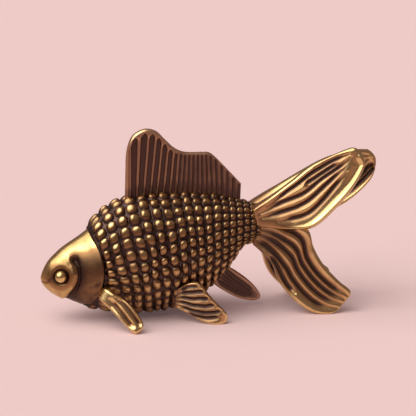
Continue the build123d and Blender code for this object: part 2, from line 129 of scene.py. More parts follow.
def antiqued_brass(name, bright, tarnish, patina, bare_from, bare_to, dull, shiny, mottle):
    """Cast brass under a rubbed patina. The mesh's wear value runs from 0 in the grooves to 1 on what hands
    reach, and on the trunk and the head it also carries painted highlight and painted shade: patina stays
    below bare_from, and bare metal, dull to shiny, shows above bare_to."""
    material = bpy.data.materials.new(name)
    material.use_nodes = True
    tree = material.node_tree
    shader = tree.nodes["Principled BSDF"]
    shader.inputs["Metallic"].default_value = 1
    place = add_node(tree, "ShaderNodeTexCoord", {}).outputs["Object"]
    # This attribute holds wear, and on the trunk and head also painted highlight and painted shade.
    wear_and_painted_light = add_node(tree, "ShaderNodeAttribute", {}, attribute_name="wear_and_painted_light").outputs["Fac"]
    blotch_size = 1.3 * MM
    blotch = add_node(tree, "ShaderNodeTexNoise", {"Vector": place, "Scale": 1 / blotch_size, "Detail": 5})
    grain_size = 0.16 * MM  # casting grain, drawn coarse enough to show
    grain = add_node(tree, "ShaderNodeTexNoise", {"Vector": place, "Scale": 1 / grain_size, "Detail": 3})
    uneven = add_node(tree, "ShaderNodeMapRange", {0: blotch.outputs["Fac"], 3: -mottle, 4: mottle})
    worn = add_node(tree, "ShaderNodeMath", {0: wear_and_painted_light, 1: uneven.outputs[0]}, operation="ADD")
    bare = add_node(tree, "ShaderNodeMapRange", {0: worn.outputs[0], 1: bare_from, 2: bare_to},
                    interpolation_type="SMOOTHSTEP")
    polished = add_node(tree, "ShaderNodeMapRange", {0: worn.outputs[0], 1: bare_to, 2: 1.05})
    metal = add_node(tree, "ShaderNodeMix", {0: polished.outputs[0], 6: linear(tarnish), 7: linear(bright)},
                     data_type="RGBA")
    colour = add_node(tree, "ShaderNodeMix", {0: bare.outputs[0], 6: linear(patina), 7: metal.outputs[2]},
                      data_type="RGBA")
    tree.links.new(colour.outputs[2], shader.inputs["Base Color"])
    gloss = add_node(tree, "ShaderNodeMapRange",
                     {0: worn.outputs[0], 1: bare_from, 2: 1.0, 3: dull, 4: shiny})
    speckle = add_node(tree, "ShaderNodeMapRange", {0: grain.outputs["Fac"], 3: -0.06, 4: 0.06})
    rough = add_node(tree, "ShaderNodeMath", {0: gloss.outputs[0], 1: speckle.outputs[0]}, operation="ADD")
    tree.links.new(rough.outputs[0], shader.inputs["Roughness"])
    bump = add_node(tree, "ShaderNodeBump", {"Strength": 0.25, "Distance": 0.02 * MM,
                                             "Height": grain.outputs["Fac"]})
    tree.links.new(bump.outputs[0], shader.inputs["Normal"])
    return material


def cast_piece(name, points, faces, wear_and_painted_light, material, node):
    """Adds a closed brass piece that stands for a CAD node; points are in millimetres."""
    mesh = bpy.data.meshes.new(name)
    mesh.from_pydata((points * MM).tolist(), [], faces)
    work = bmesh.new()
    work.from_mesh(mesh)
    bmesh.ops.recalc_face_normals(work, faces=work.faces)
    work.to_mesh(mesh)
    work.free()
    mesh.shade_smooth()
    mesh.attributes.new("wear_and_painted_light", "FLOAT", "POINT").data.foreach_set("value", np.ravel(wear_and_painted_light).astype(np.float32))
    mesh.materials.append(material)
    piece = bpy.data.objects.new(name, mesh)
    bpy.context.scene.collection.objects.link(piece)
    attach(piece, "root")
    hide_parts(node)


def sleeve_faces(rings, round_count):
    """Faces of a closed sleeve of rings, with one more point at each end to close it."""
    faces = []
    for ring in range(rings - 1):
        for spot in range(round_count):
            after = (spot + 1) % round_count
            here, there = ring * round_count, (ring + 1) * round_count
            faces.append((here + spot, there + spot, there + after, here + after))
    first, last = rings * round_count, rings * round_count + 1
    end = (rings - 1) * round_count
    for spot in range(round_count):
        after = (spot + 1) % round_count
        faces.append((first, spot, after))
        faces.append((last, end + after, end + spot))
    return faces


THROAT_COLUMNS = [2.1, 2.1]
BODY_COLUMNS = np.linspace(1.70, 1.04, 18)
COAT_START = -3.4
GILL_CENTRE = (-10.65, 2.65)  # the gill covers end in an arc, and the coat dives under them
GILL_RADIUS = 11.4
SCALE_ROWS = 26
SCALE_GRID = 14
SCALE_RELIEF = 0.6
ROW_SLIP = 0.1  # how far the scales of a column slip along it, in rows
NAPE_PUFF = 0.4
GILL_TUCK = 1.2  # how deep the coat dives
WIDEST = (6.5, 9.25)  # half width and half height of the fullest section, which the rows divide evenly
dice = np.random.default_rng(11)
widths = np.concatenate([THROAT_COLUMNS, BODY_COLUMNS])
edges = COAT_START + np.concatenate([[0], np.cumsum(widths)])
columns = len(widths)
step = np.arange(columns * SCALE_GRID + 1)
column = np.minimum(step // SCALE_GRID, columns - 1)
along = (step - column * SCALE_GRID) / SCALE_GRID
base_station = edges[column] + along * widths[column]
column_lean = np.interp(base_station, [0, 22], [math.tan(math.radians(-4)), math.tan(math.radians(16))])

girth_turn = np.linspace(0, 2 * math.pi, 2001)
girth_points = np.stack([WIDEST[0] * np.sin(girth_turn), WIDEST[1] * np.cos(girth_turn)], 1)
girth = np.concatenate([[0], np.cumsum(np.linalg.norm(np.diff(girth_points, axis=0), axis=1))])
spot = np.arange(SCALE_ROWS * SCALE_GRID)
row_place = spot / SCALE_GRID + dice.uniform(-ROW_SLIP, ROW_SLIP, columns)[column][:, None]
row = np.floor(row_place).astype(int) % SCALE_ROWS
around = row_place % 1
even_turn = np.interp(spot / len(spot), girth / girth[-1], girth_turn)
sway = 0.016 * np.sin(even_turn) ** 2 * drift(base_station[:, None], 9 * np.cos(even_turn), 6.5, 3)
turn = even_turn + sway

upright = np.where(np.cos(turn) > 0, back(base_station)[:, None], belly(base_station)[:, None])
station = base_station[:, None] + column_lean[:, None] * upright * np.cos(turn)
station = station + 0.09 * drift(station, upright * np.cos(turn), 6.0, 4)
upright = np.where(np.cos(turn) > 0, back(station), belly(station))
outside = flank(station) * np.sin(turn)
upward = upright * np.cos(turn)

cells = (columns, SCALE_ROWS)
cell = (column[:, None], row)
size_u = np.minimum(dice.normal(0.93, 0.04, cells), 0.99)[cell]
size_v = np.minimum(dice.normal(0.95, 0.04, cells), 0.99)[cell]
lift = dice.normal(1.0, 0.09, cells)[cell]
tilt_u = dice.normal(-0.08, 0.14, cells)[cell]
tilt_v = dice.normal(0.0, 0.14, cells)[cell]
u = (2 * along - 1)[:, None] - dice.normal(0, 0.04, cells)[cell]
v = 2 * around - 1 - dice.normal(0, 0.04, cells)[cell]
reach = ((np.abs(u) / size_u) ** 2.4 + (np.abs(v) / size_v) ** 2.4) ** (1 / 2.4)
past_gill = np.hypot(station - GILL_CENTRE[0], upward - GILL_CENTRE[1]) - GILL_RADIUS
dome = np.clip(1 - reach ** 2.2, 0, 1) ** 0.6 * ease(past_gill, 0.2, 0.7)
height = dome * lift * (1 + tilt_u * u + tilt_v * v)
nape = NAPE_PUFF * ease(station, 4.5, 0.5) * ease(np.cos(turn), 0.2, 0.8)
under_gill = ease(past_gill, 0, -0.5)
relief = SCALE_RELIEF * flank(station) / WIDEST[0] * (1 - height)
sink = relief - nape * (1 - under_gill) + GILL_TUCK * under_gill
shrink = 1 - sink / np.hypot(outside, upward)
skin = swim(station, outside * shrink, upward * shrink).reshape(-1, 3)
trunk_ends = swim(np.array([base_station[0], base_station[-1]]), np.zeros(2), np.zeros(2))
trunk_points = np.concatenate([skin, trunk_ends])
# Painted highlight: the upper side of each scale, and the scales along the back, are made brighter in colour
# where the light falls.
painted_highlight_upper_side = ease(np.where(turn > math.pi, v, -v), -0.4, 0.7)
painted_highlight_share = 0.74 + 0.26 * painted_highlight_upper_side + 0.14 * ease(np.cos(turn), 0.2, 0.8)
trunk_wear_and_painted_highlight = np.concatenate([(dome * painted_highlight_share).ravel(), [0, 0]])
# Painted highlight makes the scales shine gold on their upper sides and along the back; below they stay
# tarnished brown and lie in nearly black grooves.
scale_brass = antiqued_brass("rubbed_scale_brass_with_painted_highlight", bright="F0D292", tarnish="A07A54", patina="54423C",
                             bare_from=0.25, bare_to=0.68, dull=0.38, shiny=0.2, mottle=0.12)
cast_piece("scaled_trunk", trunk_points, sleeve_faces(len(step), len(spot)), trunk_wear_and_painted_highlight, scale_brass,
           "trunk")

# Head: a smooth brass wedge with cheeks and gill covers, cast apart and soldered into the trunk by a round
# spigot. It is what fingers rub most, so it is polished bright and keeps patina only in its grooves.
HEAD_DROOP = math.radians(3)
HEAD_SPLAY = math.radians(10)
HEAD_SLOPE = 0.6087
SNOUT_RADIUS = 1.6
SNOUT_ROUND = 2.0
EYE_BACK = 2.6
EYE_LIFT = math.radians(13.5)
CHEEK_LINE = [(5.0, 2.9), (5.25, 2.0), (5.2, 0.9), (4.95, -0.2), (4.5, -1.3), (3.85, -2.35), (3.2, -3.3)]
MOUTH_LINE = [(0.05, -0.1), (0.5, -0.05), (1.0, 0.15)]
snout = neck - axis * HEAD_LENGTH
head_level = axis * math.cos(HEAD_DROOP) - rise * math.sin(HEAD_DROOP)
head_lift = rise * math.cos(HEAD_DROOP) + axis * math.sin(HEAD_DROOP)


def flow(stops, place):
    """Smooth curve through evenly spaced stops, at places from 0 to 1."""
    stops = np.asarray(stops, float)
    run = np.asarray(place) * (len(stops) - 1)
    leg = np.minimum(run.astype(int), len(stops) - 2)
    rest = (run - leg)[..., None]
    before, start, end, after = (stops[np.clip(leg + step, 0, len(stops) - 1)] for step in (-1, 0, 1, 2))
    bend = before - 2.5 * start + 2 * end - 0.5 * after
    twist = 1.5 * (start - end) + 0.5 * (after - before)
    return start + (end - before) * (0.5 * rest) + bend * rest ** 2 + twist * rest ** 3


def gap_to(points, line, widths, fades):
    """Distance from points to the nearest spot of a line, in its widths there; fades hold them off it."""
    nearest = np.full(points.shape[:-1], np.inf)
    for spot, width, fade in zip(line, widths, fades):
        nearest = np.minimum(nearest, np.sum((points - spot) ** 2, -1) / width ** 2 + fade ** 2)
    return np.sqrt(nearest)


def side_gap(stops, widths):
    """Distance from the head's skin to a line on both its sides, in the line's widths."""
    places = np.linspace(0, 1, 60)
    wide = np.interp(places, np.linspace(0, 1, len(widths)), widths)
    gaps = [gap_to(head_skin, head_line(stops, places, hand), wide, 0 * wide) for hand in (-1, 1)]
    return np.minimum(*gaps)


def cone_radius(behind):
    blunt = np.sqrt(1 - (1 - np.clip(behind / SNOUT_ROUND, 0, 1)) ** 2)
    return (SNOUT_RADIUS + HEAD_SLOPE * behind) * blunt


def head_point(behind, outside, above):
    """Points behind the snout, right of its middle and above its level."""
    ahead = snout + behind[..., None] * head_level
    return ahead + outside[..., None] * sideways + above[..., None] * head_lift


def head_skin_at(behind, turn):
    """Skin of the two leaning half cones, at a turn from the top ridge round to the fish's right."""
    radius = cone_radius(behind)
    apart = behind * math.tan(HEAD_SPLAY)
    share = np.where(turn < math.pi, turn, 2 * math.pi - turn) / math.pi
    lean = np.arccos(np.clip(apart / radius, 0, 1)) * (1 - 2 * share)
    return np.where(turn < math.pi, 1, -1) * (radius * np.cos(lean) - apart), radius * np.sin(lean)


def head_line(stops, places, hand):
    """Line on one side of the head through stops behind the snout and above its level."""
    behind, above = flow(stops, places).T
    half_width = np.sqrt(np.clip(cone_radius(behind) ** 2 - above ** 2, 0, None))
    outside = half_width - behind * math.tan(HEAD_SPLAY)
    return head_point(behind, hand * outside, above)


head_turn = np.linspace(0, 2 * math.pi, 360, endpoint=False)
gill_end = np.full_like(head_turn, 8.0)
for _ in range(15):
    above = head_skin_at(gill_end, head_turn)[1]
    upward = above * math.cos(HEAD_DROOP) - gill_end * math.sin(HEAD_DROOP)
    edge_station = GILL_CENTRE[0] + np.sqrt(GILL_RADIUS ** 2 - (upward - GILL_CENTRE[1]) ** 2)
    gill_end = (edge_station + HEAD_LENGTH - above * math.sin(HEAD_DROOP)) / math.cos(HEAD_DROOP)
run = np.linspace(0.03, 1, 210) ** 1.8
behind = run[:, None] * gill_end
head_out, head_up = head_skin_at(behind, head_turn)
head_skin = head_point(behind, head_out, head_up)
for _ in range(40):
    head_skin = 0.5 * head_skin + 0.25 * (np.roll(head_skin, 1, 1) + np.roll(head_skin, -1, 1))

eye_radius = cone_radius(np.array(EYE_BACK))
eye_above = np.array(eye_radius * math.sin(EYE_LIFT))
eye_outside = np.array(eye_radius * math.cos(EYE_LIFT) - EYE_BACK * math.tan(HEAD_SPLAY))
eyes = [head_point(np.array(EYE_BACK), hand * eye_outside, eye_above) for hand in (-1, 1)]
eye_gap = gap_to(head_skin, eyes, (1, 1), (0, 0))
cheek_gap = side_gap(CHEEK_LINE, (1, 1))
cheek_groove = hump(side_gap(CHEEK_LINE, (0.5, 0.26, 0.24, 0.24, 0.26, 0.3, 0.2)), 1)
mouth = hump(side_gap(MOUTH_LINE, (0.2, 0.2, 0.1)), 1)
tear = hump(side_gap([(1.8, 0.75), (0.9, 0.42)], (0.7, 0.25)), 1)
from_gill = (1 - run[:, None]) * gill_end
socket = ease(eye_gap, 1.45, 1.0)
past_cheek = behind - np.interp(head_up, [-3.3, -1.3, 0.9, 2.9], [3.2, 4.5, 5.2, 5.0])
cheek_front = ease(past_cheek, -0.1, -0.9)
cheek_swell = hump(cheek_gap - 0.6, 0.55) * cheek_front
cheek_fall = hump(cheek_gap, 1.1) * (1 - cheek_front)
carve = 0.3 * cheek_groove + 0.2 * cheek_fall + 0.26 * socket + 0.05 * mouth + 0.1 * tear
to_ridge = head_up / cone_radius(behind)
brow = hump(behind - 3.8, 2.6) * ease(to_ridge, 0.5, 0.97)
jaw = hump(behind - 3.0, 2.2) * ease(to_ridge, -0.5, -0.95)
puff = 0.14 * cheek_swell + 0.05 * hump(from_gill - 0.5, 0.6) + 0.05 * hump(eye_gap - 1.75, 0.35)
puff = puff + 0.42 * brow + 0.12 * jaw
hammered = 0.035 * drift(behind, head_up, 1.3, 8) * ease(head_up, 0.3, -1.2) * ease(behind, 4.6, 5.6)
outward = np.cross(np.gradient(head_skin, axis=0), np.gradient(head_skin, axis=1))
outward /= np.linalg.norm(outward, axis=-1, keepdims=True) + 1e-12
from_middle = head_skin - snout - head_level * behind[..., None]
outward *= np.sign(np.sum(outward * from_middle, -1, keepdims=True))
head_skin = head_skin + outward * (puff + hammered - carve)[..., None]
head_wear_and_painted_shade = 0.95 - 0.95 * cheek_groove - 0.3 * cheek_fall - 0.75 * socket * ease(eye_gap, 0.6, 0.95)
# Painted shade: the gill covers behind the cheek and below the brow are darkened in colour as if turned away
# from the light.
gill_painted_shade = ease(past_cheek, 0, 0.6) * ease(head_up - 0.3 * (behind - 5), 3.8, 2.3)
head_wear_and_painted_shade -= 0.4 * tear + 0.3 * mouth + 0.48 * gill_painted_shade + 0.2 * hump(eye_gap - 1.6, 0.6)
head_wear_and_painted_shade -= 2.5 * np.clip(-hammered, 0, 1)

# The gill covers' edge rolls in under itself: steps onward and inward from the edge.
LIP_STEPS = [(0.15, 0.10), (0.3, 0.35), (0.37, 0.75), (0.33, 1.4)]
middle_at_edge = snout + head_level * behind[-1][:, None]
inward = middle_at_edge - head_skin[-1]
inward /= np.linalg.norm(inward, axis=-1, keepdims=True)
lip_rings = [head_skin]
ring_wear_and_painted_shade = [head_wear_and_painted_shade]
for onward, inside in LIP_STEPS:
    lip_rings.append((head_skin[-1] + axis * onward + inward * inside)[None])
    ring_wear_and_painted_shade.append(np.full((1, len(head_turn)), 0.5 - inside * 0.6))
head_rings = np.concatenate(lip_rings)
head_points = np.concatenate([head_rings.reshape(-1, 3), [snout, neck]])
head_piece_wear_and_painted_shade = np.concatenate([np.concatenate(ring_wear_and_painted_shade).ravel(), [0.9, 0]])
# Nearly bare brass: wide gold reflections on brow and cheeks, painted shade in dull brown on the gill covers,
# and dull brown patina round the eyes.
head_brass = antiqued_brass("polished_head_brass", bright="F2D48C", tarnish="A57E54", patina="4E3A32",
                            bare_from=0.15, bare_to=0.8, dull=0.42, shiny=0.24, mottle=0.16)
cast_piece("polished_head", head_points, sleeve_faces(len(head_rings), len(head_turn)),
           np.clip(head_piece_wear_and_painted_shade, 0, 1), head_brass, "head")

# Eyes: small round brass beads on stems, soldered into ring recesses on both sides of the head and rubbed
# bright.
BEAD_RADIUS = 0.9
BEAD_SINK = 0.2
bead_turns = np.linspace(0, 2 * math.pi, 48, endpoint=False)
bead_falls = np.linspace(0.02, 0.72 * math.pi, 28)
for side_name, hand in hands.items():
    course = head_level * math.cos(HEAD_SPLAY) - hand * sideways * math.sin(HEAD_SPLAY)
    look = hand * sideways * math.cos(EYE_LIFT) + head_lift * math.sin(EYE_LIFT) - course * HEAD_SLOPE
    look /= np.linalg.norm(look)
    bead_up = head_lift - look * (head_lift @ look)
    bead_up /= np.linalg.norm(bead_up)
    bead_across = np.cross(look, bead_up)
    centre = head_point(np.array(EYE_BACK), hand * eye_outside, eye_above) - look * BEAD_SINK
    fall, round_turn = np.meshgrid(bead_falls, bead_turns, indexing="ij")
    ball = centre + BEAD_RADIUS * (
        (np.sin(fall) * np.cos(round_turn))[..., None] * bead_up
        + (np.sin(fall) * np.sin(round_turn))[..., None] * bead_across
        + np.cos(fall)[..., None] * look
    )
    ends = np.array([centre + look * BEAD_RADIUS, centre - look * BEAD_RADIUS * 0.8])
    bead_rub = np.concatenate([ease(np.cos(fall), -0.1, 0.3).ravel(), [1, 0]])
    cast_piece(f"{side_name}_eye_bead", np.concatenate([ball.reshape(-1, 3), ends]),
               sleeve_faces(len(bead_falls), len(bead_turns)), bead_rub, head_brass,
               f"{side_name}_eye")

# Dorsal fin: a thin brass plate with a tall front lobe, its tongue soldered into a slot along the back.
# Rays are cut into both faces, deep at the front lobe; the faces keep their brown patina and only the rim
# is worn bright.
DORSAL_AT = 6.3
DORSAL_FOOT = 16.9
DORSAL_HALF = 0.62
# Top edge: run along the foot, then the matching place behind the foot's start and over the back there.
dorsal_top = {
    0.0: (1.55, 5.2), 0.45: (2.35, 7.4), 1.2: (3.4, 8.75), 2.2: (5.2, 9.25), 3.6: (6.75, 8.6),
    5.0: (7.8, 7.1), 6.6: (8.9, 5.5), 8.2: (10.1, 4.55), 9.8: (11.4, 4.1), 11.6: (12.9, 3.75),
    13.1: (14.2, 3.2), 15.0: (16.0, 0.5), 16.9: (17.75, -2.4),
}


def crowd(count):
    """Places from 0 to 1, closer together at both ends."""
    place = np.linspace(0, 1, count)
    return 0.35 * place + 0.65 * (0.5 - 0.5 * np.cos(math.pi * place))


def rounded(distance, radius):
    """Share of full thickness at a distance from an edge that is rounded over."""
    return np.sqrt(1 - (1 - np.clip(distance / radius, 0, 1)) ** 2)


def plate_mesh(sheet, half):
    """Points and faces of a closed plate: a middle sheet pushed out both ways, joined at its border."""
    slope_a, slope_b = np.gradient(sheet, axis=0), np.gradient(sheet, axis=1)
    normal = np.cross(slope_a, slope_b)
    normal /= np.linalg.norm(normal, axis=-1, keepdims=True) + 1e-12
    rows, spots = half.shape
    front = np.arange(rows * spots).reshape(rows, spots)
    rear = front.copy()
    inner = np.zeros((rows, spots), bool)
    inner[1:-1, 1:-1] = True
    rear[inner] = rows * spots + np.arange(inner.sum())
    half = np.where(inner, half, 0)
    points = np.concatenate([(sheet + normal * half[..., None]).reshape(-1, 3),
                             (sheet - normal * half[..., None])[inner]])
    faces = []
    for skin_index, order in ((front, (0, 1, 2, 3)), (rear, (3, 2, 1, 0))):
        near, far = skin_index[:-1], skin_index[1:]
        corners = np.stack([near[:, :-1], far[:, :-1], far[:, 1:], near[:, 1:]], -1)
        faces += corners.reshape(-1, 4)[:, order].tolist()
    return points, faces, inner


knots = np.array(list(dorsal_top))
foot_run = crowd(420) * DORSAL_FOOT
foot_q = DORSAL_AT + foot_run
foot_t = back(foot_q) - 1.6
knot_place = np.interp(foot_run, knots, np.linspace(0, 1, len(knots)))
top_level = float(back(DORSAL_AT))
top_stops = [(DORSAL_AT + behind_foot, top_level + over) for behind_foot, over in dorsal_top.values()]
top_line = flow(top_stops, knot_place)
climb = crowd(70)
dorsal_q = foot_q[:, None] + climb * (top_line[:, :1] - foot_q[:, None])
dorsal_t = foot_t[:, None] + climb * (top_line[:, 1:] - foot_t[:, None])
ray_height = np.hypot(top_line[:, 0] - foot_q, top_line[:, 1] - foot_t)[:, None]
from_top = (1 - climb) * ray_height
from_front = foot_run[:, None] + 0 * climb
from_rear = (DORSAL_FOOT - foot_run)[:, None] + 0 * climb
from_rim = np.minimum(np.minimum(from_top, from_front), from_rear)
ray_pitch = np.interp(foot_run, [0, 6, 8, 17], [0.98, 0.98, 0.74, 0.7])
ray_count = np.concatenate([[0], np.cumsum(np.diff(foot_run) / ray_pitch[1:])])[:, None]
ray_wave = 0.5 - 0.5 * np.cos(2 * math.pi * (ray_count - 0.3))
front_lobe = ease(foot_run, 8.5, 6.0)[:, None]
groove_top = 0.85 + 0.5 * ray_wave
front_rim = ease(from_top, groove_top, groove_top - 0.4)
rim = front_lobe * front_rim + (1 - front_lobe) * ease(from_top, 0.5, 0.1)
rim = np.maximum(rim, ease(from_front, 0.75, 0.4))
ray_cut = (1 - ease(ray_wave, 0.45 * front_lobe, 0.7 + 0.3 * front_lobe)) * (1 - rim)
ray_depth = 0.28 * front_lobe + 0.15 * (1 - front_lobe)
swollen = DORSAL_HALF * (0.75 + 0.25 * rim)
dorsal_half = (swollen - ray_depth * ray_cut) * rounded(from_rim, 0.5)
dorsal_points, dorsal_faces, inner = plate_mesh(swim(dorsal_q, 0 * dorsal_q, dorsal_t), dorsal_half)
front_rub = 0.72 - 0.66 * ray_cut
rear_rub = 0.36 - 0.3 * ray_cut
dorsal_rub = front_lobe * front_rub + (1 - front_lobe) * rear_rub + 0.5 * rim * ease(from_rim, 0.6, 0.1)
dorsal_rub = np.clip(dorsal_rub * (0.45 + 0.55 * ease(climb * ray_height, 2.0, 3.6)), 0, 1)
# Brown patina with a low sheen; only the ribs and the rim show metal.
fin_brown = antiqued_brass("brown_fin_brass", bright="F2D0A0", tarnish="D2A888", patina="705850",
                           bare_from=0.08, bare_to=0.8, dull=0.48, shiny=0.32, mottle=0.16)
cast_piece("rayed_dorsal_fin", dorsal_points, dorsal_faces,
           np.concatenate([dorsal_rub.ravel(), dorsal_rub[inner]]), fin_brown, "dorsal_fin")

# Anal fin: a small brass leaf under the stalk, its tongue soldered into a slot in the belly. It stays
# brown, with a few grooves along it and a worn rim.
ANAL_UPPER = [(18.6, 3.0), (19.7, 4.9), (20.9, 6.2), (22.1, 7.6), (23.1, 9.1), (23.85, 10.6)]
ANAL_LOWER = [(16.4, 5.2), (17.1, 7.2), (18.6, 8.9), (20.4, 10.4), (22.1, 11.25), (23.5, 11.5)]
ANAL_GROOVES = [
    [(0.15, 0.84), (0.36, 0.72), (0.57, 0.66), (0.8, 0.62)],
    [(0.15, 0.52), (0.42, 0.45), (0.61, 0.4), (0.85, 0.42)],
    [(0.18, 0.2), (0.39, 0.2), (0.55, 0.21), (0.75, 0.26)],
]


def fin_plate(first_edge, second_edge, size, thickness, grooves, groove_width, depth, reach, corner, soft):
    """Sheet of a fin between two edges, root first, with its half thickness, groove share, distance to its
    rim and shares of length and breadth. Grooves run through stops of those shares; reach is the share of
    the edges that the fin fills, and corner the share of its length that rounds off its end."""
    length_count, breadth_count = size
    over = crowd(breadth_count)[None, :]
    end_place = reach * (1 - corner * (1 - (1 - np.abs(2 * over - 1) ** 2.4) ** (1 / 2.4)))
    place = crowd(length_count)[:, None] * end_place
    first, second = flow(first_edge, place), flow(second_edge, place)
    sheet = first + over[..., None] * (second - first)
    steps = np.linalg.norm(np.diff(sheet, axis=0), axis=-1)
    travelled = np.concatenate([np.zeros((1, breadth_count)), np.cumsum(steps, axis=0)])
    breadth = np.linalg.norm(second - first, axis=-1)
    from_side = np.minimum(over, 1 - over) * breadth
    from_edge = np.minimum(travelled[-1] - travelled, from_side)
    # Grooves narrow and fade out towards both their ends.
    run = np.linspace(0, 1, 90)
    from_tip = np.minimum(run, 1 - run)
    widths = groove_width * np.minimum(1, 0.4 + 4 * from_tip)
    fades = 1.7 * ease(from_tip, 0.22, 0)
    nearest = np.full_like(from_edge, np.inf)
    for stops in grooves:
        length_place, breadth_place = flow(stops, run).T
        one, other = flow(first_edge, length_place), flow(second_edge, length_place)
        line = one + breadth_place[:, None] * (other - one)
        nearest = np.minimum(nearest, gap_to(sheet, line, widths, fades))
    groove, valley = hump(nearest, 1), hump(nearest, 2.2)
    full = thickness[0] + (thickness[1] - thickness[0]) * place
    half = full / 2 - depth * (0.5 * groove + valley)
    half = half * rounded(from_edge, soft) * rounded(travelled, soft)
    return sheet, half, 0.8 * groove + 0.25 * valley, from_edge, place + 0 * over, over + 0 * place


def leaf(stops):
    return [swim(np.array(run), np.array(0.0), np.array(-below)) for run, below in stops]


sheet, half, groove, from_edge, *_ = fin_plate(
    leaf(ANAL_LOWER), leaf(ANAL_UPPER), size=(140, 90), thickness=(1.3, 0.9), grooves=ANAL_GROOVES,
    groove_width=0.34, depth=0.26, reach=1.0, corner=0.2, soft=0.45)
points, faces, inner = plate_mesh(sheet, half)
anal_rub = 0.42 - 0.5 * groove + 0.4 * ease(from_edge, 0.7, 0.2)
cast_piece("leaf_anal_fin", points, faces, np.concatenate([anal_rub.ravel(), anal_rub[inner]]), fin_brown,
           "anal_fin")

# Pectoral fins: leaf-shaped brass feet behind the gill covers, each on a round peg. Their ribs are rubbed
# bright and the tips are filed flat where they stand.
PECTORAL_AT = 0.6
PECTORAL_TURN = math.radians(112)
PECTORAL_LOWER = [(-0.8, -1.0, 0.81), (-0.8, 0.5, 0.74), (0.2, 1.7, 0.56), (1.0, 2.7, 0.4),
                  (2.0, 3.7, 0.19), (2.9, 4.4, 0.02), (3.6, 4.6, -0.02)]
PECTORAL_UPPER = [(0.1, -1.0, 1.13), (0.4, 0.8, 1.1), (1.6, 1.8, 0.94), (2.7, 2.7, 0.78), (3.6, 3.5, 0.58),
                  (4.3, 4.1, 0.35), (4.6, 4.4, 0.16)]
PECTORAL_GROOVES = [
    [(0.26, 0.5), (0.4, 0.4), (0.55, 0.34), (0.67, 0.3), (0.78, 0.32)],
    [(0.3, 0.82), (0.48, 0.77), (0.64, 0.74), (0.76, 0.73), (0.88, 0.7)],
]
# Rubbed ribs and rims with sharp gold reflections between dark brown folds.
fin_bright = antiqued_brass("rubbed_fin_brass", bright="F2D494", tarnish="C89E70", patina="58463F",
                            bare_from=0.15, bare_to=0.72, dull=0.42, shiny=0.22, mottle=0.16)


def fin_root(station, turn, hand):
    """Place on the scale crowns where a paired fin leaves the trunk."""
    return swim(np.array(station), hand * flank(station) * math.sin(turn), belly(station) * math.cos(turn))


def floor_edge(root, hand, stops):
    """Edge of a standing fin: stops behind and outside its root, and shares of the root's height."""
    return [(root[0] + run, root[1] + hand * outside, root[2] * share) for run, outside, share in stops]


def add_floor_fin(name, node, plates):
    """Adds a fin of one or more plates, each a sheet, half thickness and rub, filed flat on the floor."""
    all_points, all_faces, all_rub = [], [], []
    count = 0
    for sheet, half, wear_and_painted_light in plates:
        points, faces, inner = plate_mesh(sheet, half)
        points[:, 2] = np.maximum(points[:, 2], 0)
        all_points.append(points)
        all_faces += [tuple(corner + count for corner in face) for face in faces]
        all_rub += [wear_and_painted_light.ravel(), wear_and_painted_light[inner]]
        count += len(points)
    cast_piece(name, np.concatenate(all_points), all_faces, np.clip(np.concatenate(all_rub), 0, 1),
               fin_bright, node)


for side_name, hand in hands.items():
    root = fin_root(PECTORAL_AT, PECTORAL_TURN, hand)
    sheet, half, groove, *_ = fin_plate(
        floor_edge(root, hand, PECTORAL_LOWER), floor_edge(root, hand, PECTORAL_UPPER), size=(160, 90),
        thickness=(1.7, 1.0), grooves=PECTORAL_GROOVES, groove_width=0.27, depth=0.34, reach=1.0,
        corner=0.14, soft=0.5)
    add_floor_fin(f"{side_name}_ribbed_pectoral_fin", f"{side_name}_pectoral_fin",
                  [(sheet, half, 1.25 - groove)])

# Pelvic fins: fan-shaped brass feet under the belly, each on a round peg, with curved grooves that sweep
# back from the root to the upper edge and a rim that is filed flat where it stands.
PELVIC_AT = 11.0
PELVIC_TURN = math.radians(134)
PELVIC_LOWER = [(-0.5, -1.1, 0.54), (0.5, 0.2, 0.46), (2.1, 1.3, 0.2), (3.5, 1.9, 0.02), (5.1, 2.5, -0.05),
                (6.5, 2.4, 0.03)]
PELVIC_UPPER = [(-0.5, -0.3, 1.35), (1.1, 1.3, 1.7), (2.6, 1.9, 1.68), (3.8, 2.2, 1.22), (5.3, 2.5, 0.76),
                (6.7, 2.5, 0.39)]
PELVIC_GROOVES = [
    [(0.1, 0.85), (0.22, 0.88), (0.36, 0.9)],
    [(0.1, 0.66), (0.26, 0.68), (0.4, 0.78), (0.48, 0.88)],
    [(0.1, 0.48), (0.31, 0.5), (0.5, 0.7), (0.6, 0.88)],
    [(0.1, 0.31), (0.33, 0.33), (0.56, 0.55), (0.73, 0.88)],
    [(0.14, 0.16), (0.33, 0.17), (0.56, 0.33), (0.73, 0.55), (0.84, 0.84)],
    [(0.26, 0.06), (0.42, 0.09), (0.63, 0.22), (0.82, 0.45)],
]
for side_name, hand in hands.items():
    root = fin_root(PELVIC_AT, PELVIC_TURN, hand)
    sheet, half, groove, from_edge, place, _ = fin_plate(
        floor_edge(root, hand, PELVIC_LOWER), floor_edge(root, hand, PELVIC_UPPER), size=(160, 120),
        thickness=(1.7, 1.0), grooves=PELVIC_GROOVES, groove_width=0.25, depth=0.3, reach=1.0,
        corner=0.16, soft=0.45)
    rim_rub = 0.4 * hump(from_edge - 0.3, 0.3)
    pelvic_rub = (0.72 - groove + rim_rub) * (0.3 + 0.7 * ease(place, 0.02, 0.16))
    add_floor_fin(f"{side_name}_ribbed_pelvic_fin", f"{side_name}_pelvic_fin", [(sheet, half, pelvic_rub)])

